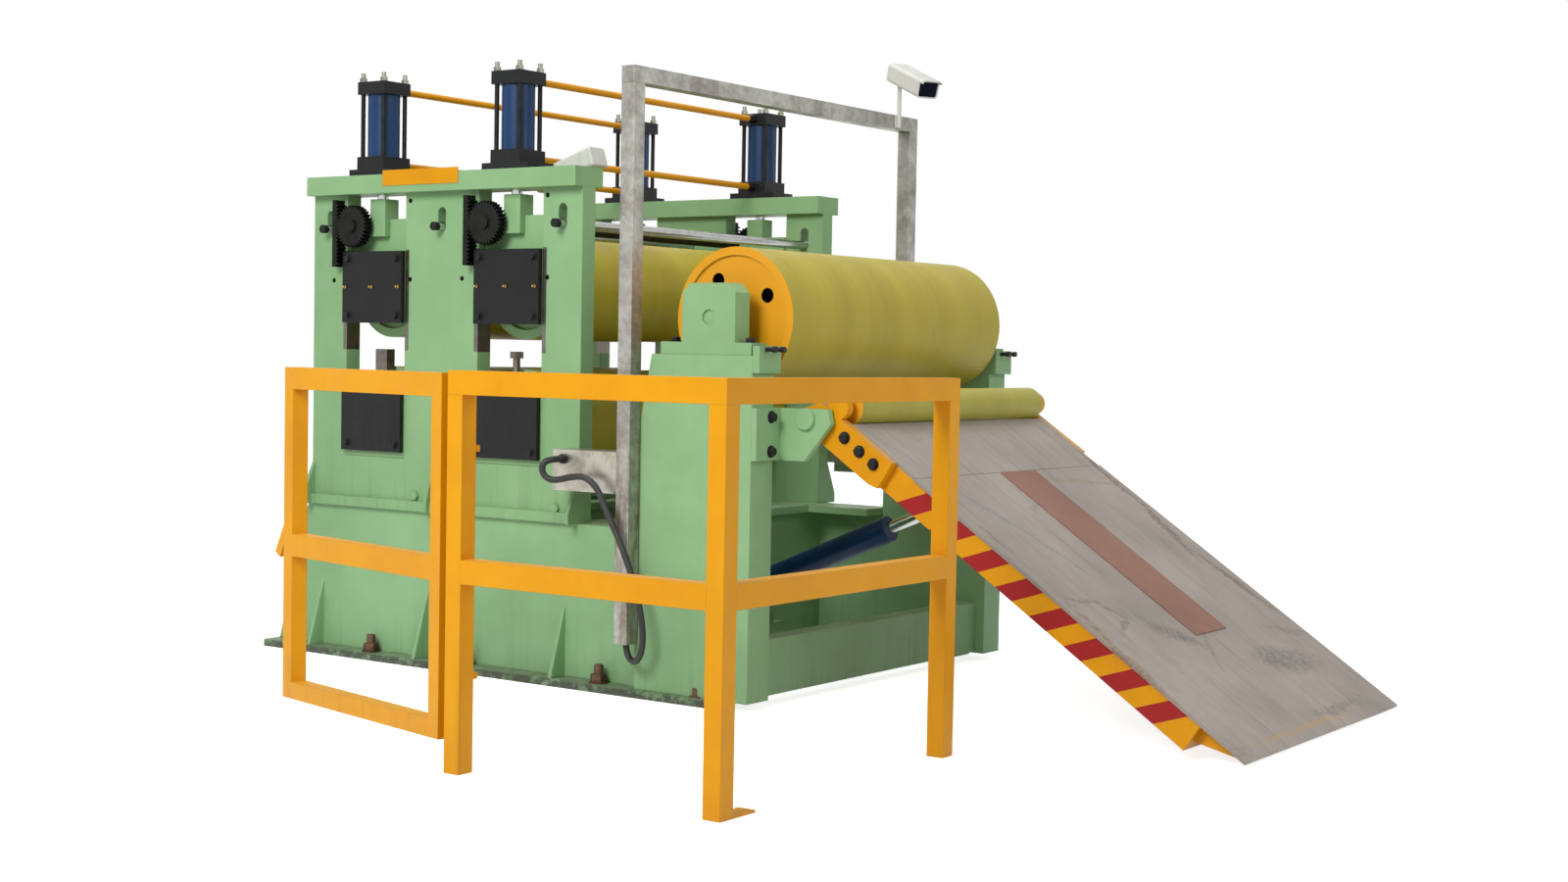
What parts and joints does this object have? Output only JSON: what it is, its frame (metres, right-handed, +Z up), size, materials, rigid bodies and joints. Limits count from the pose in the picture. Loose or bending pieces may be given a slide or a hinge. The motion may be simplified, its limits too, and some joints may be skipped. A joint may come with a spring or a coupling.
{
  "type": "pinch roll feeder",
  "caption": "Floor-standing pinch roll feeder for steel strip with lifting upper rolls, a deflector roll, a tilting threading table, a camera gantry and a guard gate.",
  "frame": {"origin": "on the floor, midway between the two roll stands and on the machine's centre line", "axes": "+X along the strip towards the threading table, +Y across to the drive side, +Z up"},
  "size_m": [4.277, 3.313, 2.514],
  "materials": {
    "green_paint": "satin enamel, light green",
    "base_green": "satin enamel, light green, dusty",
    "deck_paint": "worn beige paint",
    "worn_strip": "brown wear strip",
    "roll_cover": "olive-yellow cast elastomer cover",
    "bare_steel": "machined steel",
    "polished_rod": "ground and chromed",
    "black_paint": "satin black",
    "adjusting_steel": "satin enamel, light green",
    "cylinder_grey": "satin black",
    "blue_tube": "gloss blue enamel",
    "zinc_plated": "zinc plated",
    "galvanised": "hot-dip galvanised",
    "box_grey": "textured grey powder coat",
    "camera_grey": "light grey powder coat",
    "guard_orange": "orange-yellow enamel"
  },
  "bodies": {
    "machine": {"adjusting_blocks": "adjusting_steel", "air_pipes": "zinc_plated", "base_frame": "base_green", "camera_far": "camera_grey", "camera_near": "camera_grey", "cap_far": "green_paint", "cap_near": "green_paint", "cylinder_feet": "cylinder_grey", "cylinder_heads": "cylinder_grey", "cylinder_nuts": "zinc_plated", "cylinder_tie_rods": "zinc_plated", "cylinder_tubes": "blue_tube", "gantry_beam": "galvanised", "gantry_boxes": "box_grey", "gantry_post_far": "galvanised", "gantry_post_near": "galvanised", "gate_hinges": "guard_orange", "guard_middle_rails": "guard_orange", "guard_posts": "guard_orange", "guard_top_rail": "guard_orange", "housing_far": "green_paint", "housing_near": "green_paint", "lower_chock_covers": "black_paint", "lower_chocks": "green_paint", "pillow_blocks": "green_paint", "racks": "bare_steel", "set_screws": "polished_rod", "stand_beam": "base_green", "stand_far": "green_paint", "stand_near": "green_paint", "stop_blocks": "bare_steel", "table_brackets": "green_paint", "table_cylinder_foot": "base_green", "tie_bar_ends": "black_paint", "tie_bars": "bare_steel", "window_liners": "bare_steel"},
    "carriage_1": {"upper_chocks_1": "green_paint", "upper_chock_covers_1": "black_paint", "lift_rods_1": "polished_rod"},
    "carriage_2": {"upper_chocks_2": "green_paint", "upper_chock_covers_2": "black_paint", "lift_rods_2": "polished_rod"},
    "top_roll_1": {"upper_roll_1": "roll_cover"},
    "top_roll_2": {"upper_roll_2": "roll_cover"},
    "bottom_roll_1": {"lower_roll_1": "roll_cover"},
    "bottom_roll_2": {"lower_roll_2": "roll_cover"},
    "timing_shaft_1": {"sync_shaft_1": "bare_steel"},
    "timing_shaft_2": {"sync_shaft_2": "bare_steel"},
    "deflector": {"deflector_roll": "roll_cover"},
    "table": {"table_frame": "guard_orange", "table_deck": "deck_paint", "deck_strip": "worn_strip"},
    "hinge_roller": {"table_roller": "bare_steel"},
    "ram_barrel": {"table_cylinder_barrel": "blue_tube"},
    "ram_rod": {"table_cylinder_rod": "polished_rod"},
    "gate_leaf": {"gate": "guard_orange"}
  },
  "joints": [
    {"name": "lift_1", "type": "slide", "parent": "machine", "child": "carriage_1", "axis": [0, 0, 1], "range_m": [-0.1, 0.01]},
    {"name": "top_roll_turn_1", "type": "hinge", "parent": "carriage_1", "child": "top_roll_1", "pos_m": [-0.365, 0, 1.503], "axis": [0, 1, 0], "continuous": true},
    {"name": "bottom_roll_turn_1", "type": "hinge", "parent": "machine", "child": "bottom_roll_1", "pos_m": [-0.365, 0, 0.985], "axis": [0, 1, 0], "continuous": true},
    {"name": "timing_turn_1", "type": "hinge", "parent": "carriage_1", "child": "timing_shaft_1", "pos_m": [-0.464, 0, 1.748], "axis": [0, 1, 0], "range_deg": [-8, 72.5]},
    {"name": "lift_2", "type": "slide", "parent": "machine", "child": "carriage_2", "axis": [0, 0, 1], "range_m": [-0.1, 0.01]},
    {"name": "top_roll_turn_2", "type": "hinge", "parent": "carriage_2", "child": "top_roll_2", "pos_m": [0.365, 0, 1.503], "axis": [0, 1, 0], "continuous": true},
    {"name": "bottom_roll_turn_2", "type": "hinge", "parent": "machine", "child": "bottom_roll_2", "pos_m": [0.365, 0, 0.985], "axis": [0, 1, 0], "continuous": true},
    {"name": "timing_turn_2", "type": "hinge", "parent": "carriage_2", "child": "timing_shaft_2", "pos_m": [0.266, 0, 1.748], "axis": [0, 1, 0], "range_deg": [-8, 72.5]},
    {"name": "deflector_turn", "type": "hinge", "parent": "machine", "child": "deflector", "pos_m": [1.371, 0, 1.39], "axis": [0, 1, 0], "continuous": true},
    {"name": "table_tilt", "type": "hinge", "parent": "machine", "child": "table", "pos_m": [1.702, 0, 1.038], "axis": [0, -1, 0], "range_deg": [-13.2, 33.8]},
    {"name": "hinge_roller_turn", "type": "hinge", "parent": "table", "child": "hinge_roller", "pos_m": [1.81247, 0, 1.08078], "axis": [0, 1, 0], "continuous": true},
    {"name": "ram_swing", "type": "hinge", "parent": "machine", "child": "ram_barrel", "pos_m": [0.95, 0, 0.33], "axis": [0, -1, 0], "range_deg": [-2.71, 6.16]},
    {"name": "ram_stroke", "type": "slide", "parent": "ram_barrel", "child": "ram_rod", "axis": [0.9199, 0, 0.392], "range_m": [-0.0786, 0.1951]},
    {"name": "gate_swing", "type": "hinge", "parent": "machine", "child": "gate_leaf", "pos_m": [1.484, -2.244, 0], "axis": [0, 0, -1], "range_deg": [-13.2, 76.8]}
  ],
  "couplings": [
    {"joint": "timing_turn_1", "follows": "lift_1", "rad_per_m": -12.5},
    {"joint": "timing_turn_2", "follows": "lift_2", "rad_per_m": -12.5},
    {"joint": "ram_swing", "follows": "table_tilt", "ratio": 0.1675},
    {"joint": "ram_stroke", "follows": "table_tilt", "m_per_rad": 0.324}
  ]
}
